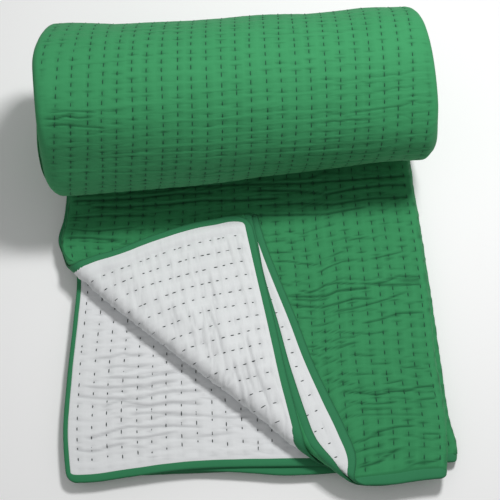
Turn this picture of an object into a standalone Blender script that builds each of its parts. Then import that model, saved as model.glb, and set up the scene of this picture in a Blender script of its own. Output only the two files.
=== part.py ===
"""Kantha quilt, folded lengthwise and crosswise into eight layers and rolled towards its open end.

The quilt is 2.29 m x 1.52 m of hand-stitched cloth. It is folded in four across its width, then in
half along its length, and rolled up from that last fold. The last third stays flat as a tail under
the roll, and the front left corner of the tail's top three layers is turned back over them.

Sizes and places are in millimetres and become metres when a mesh is made. x runs across the tail
from its left edge, y runs back from its front hem, z runs up from the surface that it lies on.
"""

import math

import bmesh
import bpy
import numpy as np
from mathutils import Vector

metre = 0.001

# The quilted cloth: a green face cloth and a white backing cloth, held together by rows of stitches.
# The shares say how much of its thickness the cloth keeps at a row of stitches and at a tight turn
# or seam.
panelWidth = 380.0
clothThick = 1.2
rowShare = 0.62
turnShare = 0.7
turnCuts = 4
clothGap = 0.3
layerPitch = 3.25
rowSpacing = 14.8
firstRow = 13.0
columnMerge = 2.4
bindingWidth = 9.0
bindingThick = 2.3
seamGap = 1.1
rollGap = 0.4
green = (0.045, 0.3, 0.13)
white = (0.78, 0.8, 0.8)
darkGreen = (0.035, 0.26, 0.11)

# The stack of eight layers that the tail is, and the roll that the rest of it is wound into.
layerCount = 8
sheetHalf = clothThick + clothGap / 2
stackTop = 2 * sheetHalf + (layerCount - 1) * layerPitch
rollPitch = stackTop + 0.35
rollYaw = math.radians(4.6)
rollMiddle = (190.0, 367.5)
rollBend = 5.5
rollBendReach = 160.0
rollLength = 390.0
coreRadiusLeft = 77.5
coreRadiusRight = 67.5
rollRowDepth = 0.9
turnSteps = 24
footWidth = 11.0
rollSwell = 1.5

# The roll's rounded shoulder: distance from its end, and how far the mantle is drawn in there.
shoulder = ((0.0, 8.0), (2.5, 3.5), (7.0, 0.8))

# The roll's end, across one turn: share of the pitch, and how far it lies inside the end.
endProfile = ((0.0, 6.0), (0.5, 0.5), (1.0, 6.0))
endSteps = 14

# The turned-back corner: its crease runs from A on the left edge to C on the front hem.
creaseNormal = Vector((0.628, 0.778, 0.0))
creaseDistance = 181.5
creaseSteps = 4
creaseWeld = 0.02
axisAboveTop = 3.0

# Distance of each cross line of the tail from the front hem, and the edges' x on it.
stations = (0, 9, 45, 110, 175, 235, 280, 366)
sideLines = {
    "fold12": (-10, -12, -14.5, -7, -1, 1, 3, 4),
    "bound3": (-2, -6, -11, -10, -5, -6, -4, 3),
    "bound4": (4, 1, -2, 2, 7, 10, 7, 4),
    "bound5": (8, 7, 6, 6, 6, 6, 6, 4),
    "bound6": (10, 9, 8, 8, 8, 8, 7, 5),
    "fold78": (9, 8, 7, 7, 7, 6, 5, 4),
    "outer14": (378.5, 380, 383, 380.5, 381, 379.5, 377, 376),
    "outer58": (395.5, 397, 392.5, 390, 387.5, 384.5, 382, 379),
}

# Place across each layer, from its left edge, and how far its front hem strays there.
across = (0, 30, 60, 120, 180, 210, 240, 265, 290, 340, 380)
hemLines = {
    1: (9, 12, 8, 1, -7, -13, -20, -24, -18, -17, -13),
    2: (13, 16, 17, 18, 17, 16, 14, 2, -7, -9, -8),
    3: (15, 17, 18, 21, 25, 24, 22, 12, 2, -4, -6),
    4: (-1, -1, 0, 5, 4, 3, 2, 1, 1, -2, -6),
    5: (2, 2, 2, 3, -1, -3, -3, -1, 0, 3, 3),
    6: (5, 5, 5, 5, 4, 4, 4, 4, 5, 5, 5),
    7: (6, 6, 5, 5, 5, 5, 5, 6, 6, 5, 5),
    8: (6, 6, 6, 5, 5, 5, 5, 5, 5, 6, 6),
}

# Each packet is one cloth that runs back and forth through four layers, in this order.
packets = {
    "top": {
        "layers": (3, 2, 1, 4),
        "left": {3: "bound3", 2: "fold12", 1: "fold12", 4: "bound4"},
        "right": "outer14",
        "lines": stations,
        "turned": True,
    },
    "base": {
        "layers": (5, 8, 7, 6),
        "left": {5: "bound5", 8: "fold78", 7: "fold78", 6: "bound6"},
        "right": "outer58",
        "lines": (0, 9, 110, 235, 366),
        "turned": False,
    },
}


def layerHeight(layer):
    """Height of the middle of a layer, numbered from the top of the stack."""
    return sheetHalf + (layerCount - layer) * layerPitch


creaseHeight = layerHeight(1) + axisAboveTop
creaseReach = math.pi * (axisAboveTop + layerPitch)


def rollLine(x):
    """y of the line where the tail meets the roll's last turn."""
    straight = rollMiddle[1] + (x - rollMiddle[0]) * math.tan(rollYaw)
    return straight + rollBend * max(0.0, 1 - x / rollBendReach) ** 2


def isFold(packet, layer):
    return packet["left"][layer].startswith("fold")


def layerEnds(packet, layer, station):
    """x of the two ends of a layer's flat stretch, on one cross line."""
    inner = layerPitch / 2
    outer = 1.5 * layerPitch
    left = np.interp(station, stations, sideLines[packet["left"][layer]])
    right = np.interp(station, stations, sideLines[packet["right"]]) - outer - sheetHalf
    if isFold(packet, layer):
        left += inner + sheetHalf
    return left, right


def clothPoint(packet, layer, place, station):
    """A point of a layer's middle surface. Between the hem's own places the hem is straight."""
    left, right = layerEnds(packet, layer, station)
    x = left + (right - left) * place / panelWidth
    hem = np.interp(place, across, hemLines[layer])
    back = rollLine(x) - rollGap
    y = hem + (back - hem) * station / stations[-1]
    return Vector((x, y, layerHeight(layer)))


def packetColumns(packet, fineLayers, edge):
    """Columns across a packet's cloth, as (layer, place) or (layer, next layer, side, angle), each
    with the share of its full thickness that the cloth has there. The cloth's bound edges have
    columns at the edge itself and at `edge` from it."""
    columns = []
    layers = packet["layers"]
    for number, layer in enumerate(layers):
        onwards = number % 2 == 0
        bound = not isFold(packet, layer)
        shares = {place: 1.0 for place in across}
        if bound:
            shares[edge] = 1.0
        if layer in fineLayers:
            first = firstRow if bound else rowSpacing / 2
            for index, place in enumerate(np.arange(first, panelWidth - 2, rowSpacing / 2)):
                near = [p for p in shares if abs(p - place) < columnMerge and p > edge]
                share = rowShare if index % 2 == 0 else 1.0
                shares[near[0] if near else float(place)] = share
        columns += [((layer, place), share) for place, share in sorted(shares.items())][
            :: 1 if onwards else -1
        ]
        if number < len(layers) - 1:
            following = layers[number + 1]
            share = turnShare if abs(following - layer) == 1 else 1.0
            for step in range(1, turnCuts):
                angle = math.pi * step / turnCuts
                columns.append(((layer, following, onwards, angle), share))
    return columns


def columnPoint(packet, column, station):
    """Where a column crosses a cross line: on a layer, or on the turn from one to the next."""
    if len(column) == 2:
        return clothPoint(packet, column[0], column[1], station)
    layer, following, onRight, angle = column
    place = panelWidth if onRight else 0.0
    start = clothPoint(packet, layer, place, station)
    end = clothPoint(packet, following, place, station)
    middle = (start + end) / 2
    radius = abs(end.z - start.z) / 2
    side = 1 if onRight else -1
    lift = (start - end) / 2
    return middle + lift * math.cos(angle) + Vector((side * radius * math.sin(angle), 0, 0))


def turnCorner(bm):
    """Turns the front left corner of the top three layers back over the crease from A to C."""
    floorOfTop = layerHeight(3) - layerPitch / 2
    for step in range(creaseSteps + 1):
        distance = creaseDistance - creaseReach * step / creaseSteps
        faces = [f for f in bm.faces if min(v.co.z for v in f.verts) > floorOfTop]
        geometry = set(faces)
        for face in faces:
            geometry.update(face.verts)
            geometry.update(face.edges)
        bmesh.ops.bisect_plane(
            bm,
            geom=list(geometry),
            dist=creaseWeld,
            plane_co=creaseNormal * distance,
            plane_no=creaseNormal,
        )
    for vert in bm.verts:
        past = creaseDistance - vert.co.dot(creaseNormal)
        if past <= 0 or vert.co.z < floorOfTop:
            continue
        radius = creaseHeight - vert.co.z
        turn = min(past / creaseReach, 1.0) * creaseSteps
        low = min(int(turn), creaseSteps - 1)
        corners = []
        for corner in (low, low + 1):
            angle = math.pi * corner / creaseSteps
            corners.append((-radius * math.sin(angle), creaseHeight - radius * math.cos(angle)))
        share = turn - low
        along = corners[0][0] * (1 - share) + corners[1][0] * share
        height = corners[0][1] * (1 - share) + corners[1][1] * share
        flat = vert.co + creaseNormal * (past + along + max(past - creaseReach, 0.0))
        vert.co = (flat.x, flat.y, height)


def clothSurface(packet, columns, lines, hemShare):
    """Open middle surface of a packet on the given columns and cross lines, before its corner is
    turned back."""
    bm = bmesh.new()
    bmesh.ops.create_grid(
        bm, x_segments=len(columns) - 1, y_segments=len(lines) - 1, size=0.5
    )
    thickness = bm.verts.layers.deform.verify()
    for vert in bm.verts:
        column, share = columns[round((vert.co.x + 0.5) * (len(columns) - 1))]
        station = lines[round((vert.co.y + 0.5) * (len(lines) - 1))]
        vert.co = columnPoint(packet, column, station)
        vert[thickness][0] = share * (hemShare if station == lines[0] else 1.0)
    return bm


def principled(name, colour, roughness):
    material = bpy.data.materials.new(name)
    material.use_nodes = True
    shader = material.node_tree.nodes["Principled BSDF"]
    shader.inputs["Base Color"].default_value = (*colour, 1.0)
    shader.inputs["Roughness"].default_value = roughness
    shader.inputs["Metallic"].default_value = 0.0
    return material


def addObject(name, bm, material, collection):
    """Makes an object of a mesh in millimetres."""
    bmesh.ops.scale(bm, vec=(metre, metre, metre), verts=bm.verts)
    mesh = bpy.data.meshes.new(name)
    bm.to_mesh(mesh)
    bm.free()
    mesh.shade_smooth()
    mesh.set_sharp_from_angle(angle=math.radians(50))
    mesh.materials.append(material)
    thing = bpy.data.objects.new(name, mesh)
    collection.objects.link(thing)
    return thing


def addThickness(thing, thickness, side):
    """Gives a surface its thickness, on its face side, its backing side or both (1, -1, 0)."""
    thing.vertex_groups.new(name="thickness")
    solid = thing.modifiers.new("thickness", "SOLIDIFY")
    solid.thickness = thickness * metre
    solid.offset = side
    solid.use_even_offset = True
    solid.use_quality_normals = True
    solid.vertex_group = "thickness"


def buildCloth(name, packetName, side, fineLayers, material, collection):
    """The face cloth (side 1) or the backing cloth (side -1) of one packet, inside its binding."""
    packet = packets[packetName]
    edge = bindingWidth + seamGap
    columns = [
        column
        for column in packetColumns(packet, fineLayers, edge)
        if len(column[0]) > 2 or isFold(packet, column[0][0]) or column[0][1] >= edge
    ]
    lines = [edge] + [line for line in packet["lines"] if line > edge]
    bm = clothSurface(packet, columns, lines, turnShare)
    if packet["turned"]:
        turnCorner(bm)
    bm.normal_update()
    for vert in bm.verts:
        vert.co += vert.normal * side * clothGap / 2
    thing = addObject(name, bm, material, collection)
    addThickness(thing, clothThick, side)


def buildBinding(name, packetName, material, collection):
    """The strip that binds the front hem and the two side edges of one packet."""
    packet = packets[packetName]
    columns = packetColumns(packet, (), bindingWidth)
    lines = packet["lines"]
    bm = clothSurface(packet, columns, lines, 1.0)
    bm.verts.index_update()
    width = len(columns)
    inside = []
    for face in bm.faces:
        first = min(vert.index for vert in face.verts)
        column, line = first % width, first // width
        if line > 0 and 0 < column < width - 2:
            inside.append(face)
    bmesh.ops.delete(bm, geom=inside, context="FACES")
    if packet["turned"]:
        turnCorner(bm)
    thing = addObject(name, bm, material, collection)
    addThickness(thing, bindingThick, 0)


def patch(bm, cellsAcross, cellsAlong, place):
    """A grid of faces whose points are place(i, j)."""
    made = bmesh.ops.create_grid(bm, x_segments=cellsAcross, y_segments=cellsAlong, size=0.5)
    for vert in made["verts"]:
        i = round((vert.co.x + 0.5) * cellsAcross)
        j = round((vert.co.y + 0.5) * cellsAlong)
        vert.co = place(i, j)


def rollStations():
    """Distances along the roll from its left end, with how far its surface is drawn in there."""
    rows = []
    count = round((rollLength - 2 * firstRow) / rowSpacing) * 2
    for index in range(count + 1):
        distance = firstRow + (rollLength - 2 * firstRow) * index / count
        rows.append((distance, rollRowDepth if index % 2 == 0 else 0.0))
    farShoulder = [(rollLength - distance, depth) for distance, depth in reversed(shoulder)]
    return [*shoulder, *rows, *farShoulder]


def rollPoint(distance, turn, depth):
    """A point of the roll: `turn` in radians from its foot round the back, `depth` inside its
    wound surface. The wound surface moves in by one pitch each full turn."""
    share = distance / rollLength
    core = coreRadiusLeft + (coreRadiusRight - coreRadiusLeft) * share
    core += rollSwell * math.sin(math.pi * share)
    radius = core + rollPitch * (1 - turn / math.tau) - depth
    back = radius * math.sin(turn)
    height = core + rollPitch - radius * math.cos(turn)
    if turn < math.tau and height < rollPitch / 2 and 0 <= back <= footWidth:
        height = min(height, depth)
    along = distance - rollLength / 2
    x = rollMiddle[0] + along * math.cos(rollYaw) - back * math.sin(rollYaw)
    y = rollLine(rollMiddle[0] + along * math.cos(rollYaw)) + back * math.cos(rollYaw)
    return Vector((x, y, height))


def buildRoll(material, collection):
    """One solid for the wound part: its mantle with the rows of stitches drawn in, the face where
    the tail joins it, and two ends that show the turns as a spiral."""
    spots = rollStations()
    footTurn = footWidth / (coreRadiusLeft + rollPitch)
    turns = [0.0, footTurn] + [math.tau * step / turnSteps for step in range(1, turnSteps + 1)]
    bm = bmesh.new()
    patch(
        bm, len(turns) - 1, len(spots) - 1,
        lambda i, j: rollPoint(spots[j][0], turns[i], spots[j][1]),
    )
    patch(
        bm, len(endProfile) - 1, len(spots) - 1,
        lambda i, j: rollPoint(spots[j][0], 0.0, joinDepth(i, spots[j][1])),
    )
    spiral = turns + [turn + math.tau for turn in turns[1:]]
    spiral += [turn + 2 * math.tau for turn in turns[1:endSteps]]
    for atLeft in (True, False):
        patch(
            bm, len(endProfile) - 1, len(spiral) - 1,
            lambda i, j: endPoint(atLeft, spiral[j], i),
        )
    bmesh.ops.remove_doubles(bm, verts=bm.verts, dist=0.001)
    bmesh.ops.holes_fill(bm, edges=[edge for edge in bm.edges if edge.is_boundary], sides=0)
    bmesh.ops.triangulate(bm, faces=[face for face in bm.faces if len(face.verts) > 4])
    bmesh.ops.recalc_face_normals(bm, faces=bm.faces)
    addObject("rolled_quilt", bm, material, collection)


def joinDepth(index, drawnIn):
    """Depth of the joining face's points at the foot, from its bottom edge to its top edge."""
    return drawnIn + endProfile[index][0] * rollPitch


def endPoint(atLeft, turn, index):
    """A point of the spiral end. Its first turn starts at the mantle's shoulder, without a groove."""
    share, inset = endProfile[index]
    past = turn + share * math.tau - math.tau
    outermost = min(max(1 - 2 * past / math.pi, 0.0), 1.0)
    sunk = inset * (1 - outermost) if index == 0 else inset
    distance = sunk if atLeft else rollLength - sunk
    return rollPoint(distance, turn, share * rollPitch + shoulder[0][1] * outermost)


def moveToOrigin(collection):
    """Puts the origin under the middle of the quilt, on the surface that it lies on."""
    bpy.context.view_layer.update()
    graph = bpy.context.evaluated_depsgraph_get()
    corners = []
    for thing in collection.objects:
        mesh = thing.evaluated_get(graph).to_mesh()
        points = np.empty(len(mesh.vertices) * 3, np.float32)
        mesh.vertices.foreach_get("co", points)
        points = points.reshape(-1, 3)
        corners += [points.min(axis=0), points.max(axis=0)]
    low, high = np.min(corners, axis=0), np.max(corners, axis=0)
    for thing in collection.objects:
        thing.location = (-(low[0] + high[0]) / 2, -(low[1] + high[1]) / 2, -low[2])


def main():
    for thing in list(bpy.data.objects):
        bpy.data.objects.remove(thing)
    quilt = bpy.data.collections.new("kantha_quilt")
    bpy.context.scene.collection.children.link(quilt)
    faceCotton = principled("green_cotton", green, 0.85)
    backingCotton = principled("white_cotton", white, 0.85)
    bindingCotton = principled("green_binding", darkGreen, 0.8)
    buildCloth("tail_top_face_cloth", "top", 1, (1,), faceCotton, quilt)
    buildCloth("tail_top_backing_cloth", "top", -1, (3, 4), backingCotton, quilt)
    buildBinding("tail_top_binding", "top", bindingCotton, quilt)
    buildCloth("tail_base_face_cloth", "base", 1, (), faceCotton, quilt)
    buildCloth("tail_base_backing_cloth", "base", -1, (), backingCotton, quilt)
    buildBinding("tail_base_binding", "base", bindingCotton, quilt)
    buildRoll(faceCotton, quilt)
    moveToOrigin(quilt)


main()
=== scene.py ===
import math
import bmesh
import bpy
import numpy as np
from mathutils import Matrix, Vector


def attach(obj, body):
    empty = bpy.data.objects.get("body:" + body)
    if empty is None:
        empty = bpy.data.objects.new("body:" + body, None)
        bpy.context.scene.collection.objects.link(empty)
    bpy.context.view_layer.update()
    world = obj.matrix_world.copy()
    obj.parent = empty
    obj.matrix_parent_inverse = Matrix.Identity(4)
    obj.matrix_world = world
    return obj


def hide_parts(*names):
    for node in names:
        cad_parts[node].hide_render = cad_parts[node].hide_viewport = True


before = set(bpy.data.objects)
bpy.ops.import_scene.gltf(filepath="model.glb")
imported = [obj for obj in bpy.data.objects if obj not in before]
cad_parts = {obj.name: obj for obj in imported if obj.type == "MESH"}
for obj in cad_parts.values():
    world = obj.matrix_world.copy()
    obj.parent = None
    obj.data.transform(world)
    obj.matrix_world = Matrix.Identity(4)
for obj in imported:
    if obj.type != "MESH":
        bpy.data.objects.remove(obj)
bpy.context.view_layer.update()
mm = 0.001
fullTurn = 2 * math.pi
print("frame loaded")

# The folded stack, as in the CAD model, in millimetres. x runs across the tail from its left edge,
# y back from its front hem. Layers are numbered from the top.
stack = {
    "corner": (-192.689, -225.626),  # where x = 0, y = 0 lies in the frame
    "width": 380.0,
    "pitch": 3.25,
    "half": 1.35,  # half of a layer's thickness
    "layers": 8,
    "tail": 366.0,
    "rollGap": 0.4,
    "leftTurn": 0.5,  # radius of the turns at each side, in pitches
    "rightTurn": 1.5,
    "bindingWidth": 9.0,
    "cornerRound": 10.0,
    "stations": (0, 9, 45, 110, 175, 216, 250, 280, 366),
    "across": (0, 30, 60, 120, 180, 210, 240, 265, 290, 340, 380),
}
# Where each edge and fold lies in x at each station, and each layer's hem in y across the tail.
sideLines = {
    "fold12": (-10, -12, -14.5, -7, -1, 2, -3.2, 1.6, 5),
    "bound3": (-1.8, -7.6, -13, -10.8, -0.5, 4.6, -7.1, -2, 3.3),
    "bound4": (5, 3.6, 0.4, 3.6, 9.7, 12.6, 9.4, 7.4, 4.2),
    "bound5": (8, 7, 6, 8, 11, 12.5, 11, 9, 4),
    "bound6": (10, 9, 8, 9, 11, 13, 11.5, 9, 5),
    "fold78": (9, 8, 7, 8.5, 10, 12, 11, 8, 4),
    "outer14": (381.5, 383, 386.5, 383, 383, 381.8, 380.2, 378, 376),
    "outer58": (395.5, 397, 392.5, 390, 387.5, 385.5, 384, 382, 379),
}
hemLines = {
    1: (5.5, 5.2, 2.7, -3.6, -8.5, -13.4, -19.4, -21.7, -11.4, -10.7, -13.7),
    2: (11.8, 13.3, 15.9, 15.9, 16.4, 14.1, 10, -0.4, -6.4, -9.8, -7.6),
    3: (14.2, 15.6, 17, 19.6, 23, 22.8, 22.2, 14.6, 3.3, -4, -5.5),
    4: (-1, -1, 2, 7, 7, 6, 5, 4, 3, -1, -6),
    5: (3, 4, 5, 6, 1, -2.5, -3, -2.5, -1.5, 3, 3),
    6: (5, 5, 5, 5, 4, 4, 4, 4, 5, 5, 5),
    7: (6, 6, 5, 5, 5, 5, 5, 6, 6, 5, 5),
    8: (6, 6, 6, 5, 5, 5, 5, 5, 5, 6, 6),
}
# The stack is two packets of four layers. A packet's layers are named in the order in which the cloth
# runs through them.
topPacket = {
    "layers": (3, 2, 1, 4),
    "left": {3: "bound3", 2: "fold12", 1: "fold12", 4: "bound4"},
    "right": "outer14",
    "turned": (3, 2, 1),
}
basePacket = {
    "layers": (5, 8, 7, 6),
    "left": {5: "bound5", 8: "fold78", 7: "fold78", 6: "bound6"},
    "right": "outer58",
    "turned": (),
}
roll = {
    "yaw": math.radians(4.6),
    "middle": (190.0, 367.5),
    "bend": 5.5,  # how far its line bends back at the left end, and the x where that starts
    "bendReach": 160.0,
    "length": 390.0,
    "coreLeft": 77.5,
    "coreRight": 67.5,
    "pitch": 25.8,
    "swell": 1.5,
    "foot": 11.0,  # depth of the flat spot that it rests on
    # its upper front is flatter at the left end and fuller at the right: (turn, reach in turn, share of
    # the radius at the left end, the same at the right end)
    "front": (4.3, 0.5, -0.15, 0.12),
    "girth": 92.0,  # radius that lengths of cloth round the roll are reckoned at
    # the rounding at each end: (distance from the end, depth under the mantle)
    "shoulder": ((0.0, 8.0), (0.9, 5.4), (2.2, 3.4), (4.2, 1.8), (7.0, 0.7)),
    "shoulderReach": 13.0,  # where the rounding ends
    # how far each end is drawn in: (turn, reach in turn, distance)
    "drawLeft": ((1.75, 0.5, 4.5), (2.2, 0.45, 7.0), (2.85, 0.25, -1.2), (3.4, 0.5, -1.0),
                 (4.25, 0.6, -5.5), (4.75, 0.35, -4.0)),
    "drawRight": ((1.8, 0.45, 10.5), (4.15, 0.2, 1.0), (5.2, 0.4, -3.0)),
    "drawReach": 55.0,
    "drawInner": 0.6,  # share by which the inner turns are drawn in less
    # the cloth is rolled up askew, so its rows drift along the roll: turn that the drift is reckoned
    # from, drift for each unit of turn, and what is added to it towards the left end
    "drift": (4.0, 7.8, 4.5),
    "driftReach": 230.0,
}
crease = {
    "normal": (0.628, 0.778),
    "distance": 181.5,
    "rise": 3.0,  # height of the bend's axis over the top layer
    "swell": 1.0,  # how much fuller the bend is half-way along it
    "swellFrom": -150.0,  # where it starts to be fuller, and over what length
    "swellLength": 370.0,
    "drop": 2.6,  # how far the flap sinks on to the tail away from the bend
    "dropReach": 75.0,
    # the crease isn't straight: (distance along it, how far it lies back); beside the bend the cloth
    # follows it fully for the first of the two lengths and less and less over the second
    "wander": ((-150, 6), (-133, 5.5), (-82, 0.5), (-20, -2.3), (44, -2.3), (91, -3), (127, -4.5),
               (146, -8), (165, -9), (210, -9)),
    "wanderKeep": 6.0,
    "wanderFade": 45.0,
}


def smoothLine(x, xs, ys):
    # smooth curve through the values of a short table
    xs, ys = np.asarray(xs, float), np.asarray(ys, float)
    slope = np.gradient(ys, xs)
    i = np.clip(np.searchsorted(xs, x, side="right") - 1, 0, len(xs) - 2)
    wide = xs[i + 1] - xs[i]
    t = np.clip((x - xs[i]) / wide, 0, 1)
    low = (1 + 2 * t) * (1 - t) ** 2 * ys[i] + t * (1 - t) ** 2 * wide * slope[i]
    return low + t * t * (3 - 2 * t) * ys[i + 1] + t * t * (t - 1) * wide * slope[i + 1]


def ease(t):
    t = np.clip(t, 0, 1)
    return t * t * (3 - 2 * t)


def softNoise(x, y, seed):
    # smooth noise from -1 to 1 with one bump for each unit, repeated after `bumps` of them
    bumps = 61
    table = np.random.default_rng(seed).uniform(-1, 1, (bumps, bumps))
    ix, iy = np.floor(x).astype(int), np.floor(y).astype(int)
    fx, fy = ease(x - ix), ease(y - iy)
    ix, iy, nextX, nextY = ix % bumps, iy % bumps, (ix + 1) % bumps, (iy + 1) % bumps
    near = table[ix, iy] * (1 - fx) + table[nextX, iy] * fx
    far = table[ix, nextY] * (1 - fx) + table[nextX, nextY] * fx
    return near * (1 - fy) + far * fy


def waves(x, y, sizes):
    # long soft waves: each is (height, length in x, length in y, seed)
    return sum(height * softNoise(x / longX, y / longY, seed) for height, longX, longY, seed in sizes)


def hump(x, at, reach):
    # a soft hump of height 1
    return np.exp(-(((x - at) / reach) ** 2))


def humps(x, sizes):
    # several of them, each as (place, reach, height)
    return sum(height * hump(x, at, reach) for at, reach, height in sizes)


def layerHeight(layer):
    return stack["half"] + (stack["layers"] - layer) * stack["pitch"]


def rollLine(x):
    straight = roll["middle"][1] + (x - roll["middle"][0]) * math.tan(roll["yaw"])
    return straight + roll["bend"] * np.maximum(0.0, 1 - x / roll["bendReach"]) ** 2


def flatPoint(packet, layer, place, station, off):
    # a point of a flat layer, `off` from its middle surface towards its green side
    left = smoothLine(station, stack["stations"], sideLines[packet["left"][layer]])
    if not isBound(packet, layer):
        left = left + stack["leftTurn"] * stack["pitch"] + stack["half"]
    right = smoothLine(station, stack["stations"], sideLines[packet["right"]])
    right = right - stack["rightTurn"] * stack["pitch"] - stack["half"]
    x = left + (right - left) * place / stack["width"]
    hem = smoothLine(place, stack["across"], hemLines[layer])
    y = hem + (rollLine(x) - stack["rollGap"] - hem) * station / stack["tail"]
    upwards = 1 if packet["layers"].index(layer) % 2 == 0 else -1
    z = layerHeight(layer) + upwards * off
    return np.stack(np.broadcast_arrays(x, y, z), axis=-1)


def turnPoint(packet, layer, angle, station, off):
    # a point of the turn that follows a layer
    number = packet["layers"].index(layer)
    following = packet["layers"][number + 1]
    onwards = number % 2 == 0
    place = stack["width"] if onwards else 0.0
    start = flatPoint(packet, layer, place, station, 0.0)
    end = flatPoint(packet, following, place, station, 0.0)
    lift = (start - end) / 2
    radius = np.abs(lift[..., 2:3])
    outwards = math.copysign(1, layerHeight(layer) - layerHeight(following)) * (1 if onwards else -1)
    side = np.array([1.0 if onwards else -1.0, 0.0, 0.0])
    round_ = lift * math.cos(angle) + side * radius * math.sin(angle)
    return (start + end) / 2 + round_ * (1 + outwards * np.asarray(off)[..., None] / radius)


def bendOver(points):
    # turns the front left corner back over the crease
    n = np.array(crease["normal"])
    flat = points[..., :2]
    past = crease["distance"] - flat @ n
    along = flat @ np.array([n[1], -n[0]])
    swollen = np.clip((along - crease["swellFrom"]) / crease["swellLength"], 0, 1)
    rise = crease["rise"] + crease["swell"] * np.sin(math.pi * swollen)
    axis = layerHeight(1) + rise
    reach = math.pi * (rise + stack["pitch"])
    radius = axis - points[..., 2]
    angle = math.pi * np.clip(past / reach, 0, 1)
    over = np.maximum(past - reach, 0)
    shift = past - radius * np.sin(angle) + over
    drop = (crease["drop"] + 2 * (rise - crease["rise"])) * ease(over / crease["dropReach"])
    bent = np.concatenate(
        [flat + n * shift[..., None], (axis - radius * np.cos(angle) - drop)[..., None]], axis=-1
    )
    bent = np.where((past > 0)[..., None], bent, points)
    away = np.maximum(-past, past - reach) - crease["wanderKeep"]
    fade = np.clip(1 - away / crease["wanderFade"], 0, 1)
    places, back = zip(*crease["wander"])
    moved = bent[..., 1] + np.interp(along, places, back) * ease(fade)
    return np.stack([bent[..., 0], moved, bent[..., 2]], axis=-1)


def pastCrease(packet, layer, place, station):
    flat = flatPoint(packet, layer, place, station, 0.0)[..., :2]
    return crease["distance"] - flat @ np.array(crease["normal"])


def rounded(place, station):
    # draws the cloth's square corner in to a round one
    r = stack["cornerRound"]
    a, b = np.maximum(r - place, 0), np.maximum(r - station, 0)
    share = np.maximum(a, b) / np.maximum(np.hypot(a, b), 1e-6)
    inside = (a > 0) & (b > 0)
    return np.where(inside, r - a * share, place), np.where(inside, r - b * share, station)


def isBound(packet, layer):
    # a layer's left side is a bound edge or a fold
    return packet["left"][layer].startswith("bound")


def laid(packet, layer, points):
    return bendOver(points) if layer in packet["turned"] else points


def clothPoint(packet, layer, place, station, off):
    if isBound(packet, layer):
        place, station = rounded(*np.broadcast_arrays(place, station))
    return laid(packet, layer, flatPoint(packet, layer, place, station, off))


def drawnIn(distance, turn, depth):
    # the ends of the roll aren't flat: each is drawn in or out by its own amount round the roll
    wound = turn + fullTurn * np.clip(depth / roll["pitch"], 0, 1)
    fade = 1 - roll["drawInner"] * ease(wound / fullTurn - 1)
    bend = np.mod(turn, fullTurn)
    total = 0.0
    for name, end, inwards in (("drawLeft", 0.0, 1), ("drawRight", roll["length"], -1)):
        near = np.clip(1 - np.abs(distance - end) / roll["drawReach"], 0, 1) ** 2
        total = total + inwards * humps(bend, roll[name]) * near * fade
    return distance + total


def rollPoint(distance, turn, depth):
    # a point of the roll: turn runs from its foot round the back
    distance = drawnIn(distance, turn, depth)
    share = distance / roll["length"]
    core = roll["coreLeft"] + (roll["coreRight"] - roll["coreLeft"]) * share
    core = core + roll["swell"] * np.sin(math.pi * share)
    radius = core + roll["pitch"] * (1 - turn / fullTurn) - depth
    at, reach, left, right = roll["front"]
    fuller = left + (right - left) * share
    radius = radius * (1 + fuller * hump(np.mod(turn, fullTurn), at, reach))
    radius = np.maximum(radius, 0.0)
    back = radius * np.sin(turn)
    height = core + roll["pitch"] - radius * np.cos(turn)
    onFoot = (turn < fullTurn) & (height < roll["pitch"] / 2) & (back >= 0) & (back <= roll["foot"])
    height = np.where(onFoot, np.minimum(height, np.maximum(depth, 0)), height)
    along = distance - roll["length"] / 2
    x = roll["middle"][0] + along * math.cos(roll["yaw"])
    y = rollLine(x) + back * math.cos(roll["yaw"])
    x = x - back * math.sin(roll["yaw"])
    return np.stack(np.broadcast_arrays(x, y, np.maximum(height, 0.0)), axis=-1)


# Rows of running stitches with puckers between them, in millimetres. These values hold for every side
# of the cloth that gives none of its own.
sewing = {
    "spacing": 14.8,  # from row to row
    "stitch": (4.3, 5.6),  # shortest and longest stitch
    "stitchWander": 0.9,  # how unevenly they follow each other in a row
    "drift": 0.9,  # how unevenly the rows stand beside each other
    "rowWander": 1.1,  # how far a row strays sideways, and the length of its waves
    "rowWave": 70.0,
    "dimple": 0.55,  # depth of the dimple round a stitch, its reach sideways and past the stitch
    "dimpleWide": 1.9,
    "dimpleEnd": 1.6,
    "dimpleShare": 0.8,  # share of the stitch's length at which its full depth ends
    "valleyWide": 3.2,  # the shallow hollow along a row
    "tickReach": 4.2,  # the short crease across a stitch's end
    "jog": 0.7,  # how unevenly the puckers start, and how far they bow
    "bow": 0.8,
    # chance that a pucker starts at a row, that it runs on from the row before (at least, and more
    # where the cloth is gathered), and how far it keeps its depth then
    "startChance": 0.55,
    "runOnChance": (0.45, 0.5),
    "keepDepth": 0.6,
    "end": 0.9,  # it starts that share of half a stitch from the stitch's middle
    "ridge": 0.45,  # height of the ridge beside a pucker, as a share of its depth
    "creaseFade": 8.0,  # length over which a listed crease comes and goes
    "ruffleSize": (31.0, 5.5),  # lengths of the small waves across and along the cloth
    "shade": (0.3, 0.5, 0.95),  # how much painted shade dimples, valleys and puckers get
}


def forceAt(side, place, along):
    # how strongly the cloth is gathered at a point
    force = side["calm"] + 0 * (place + along)
    for x, y, reachX, reachY, gain in side["areas"]:
        force = force + gain * hump(place, x, reachX) * hump(along, y, reachY)
    return np.clip(force, 0, 1)


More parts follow.
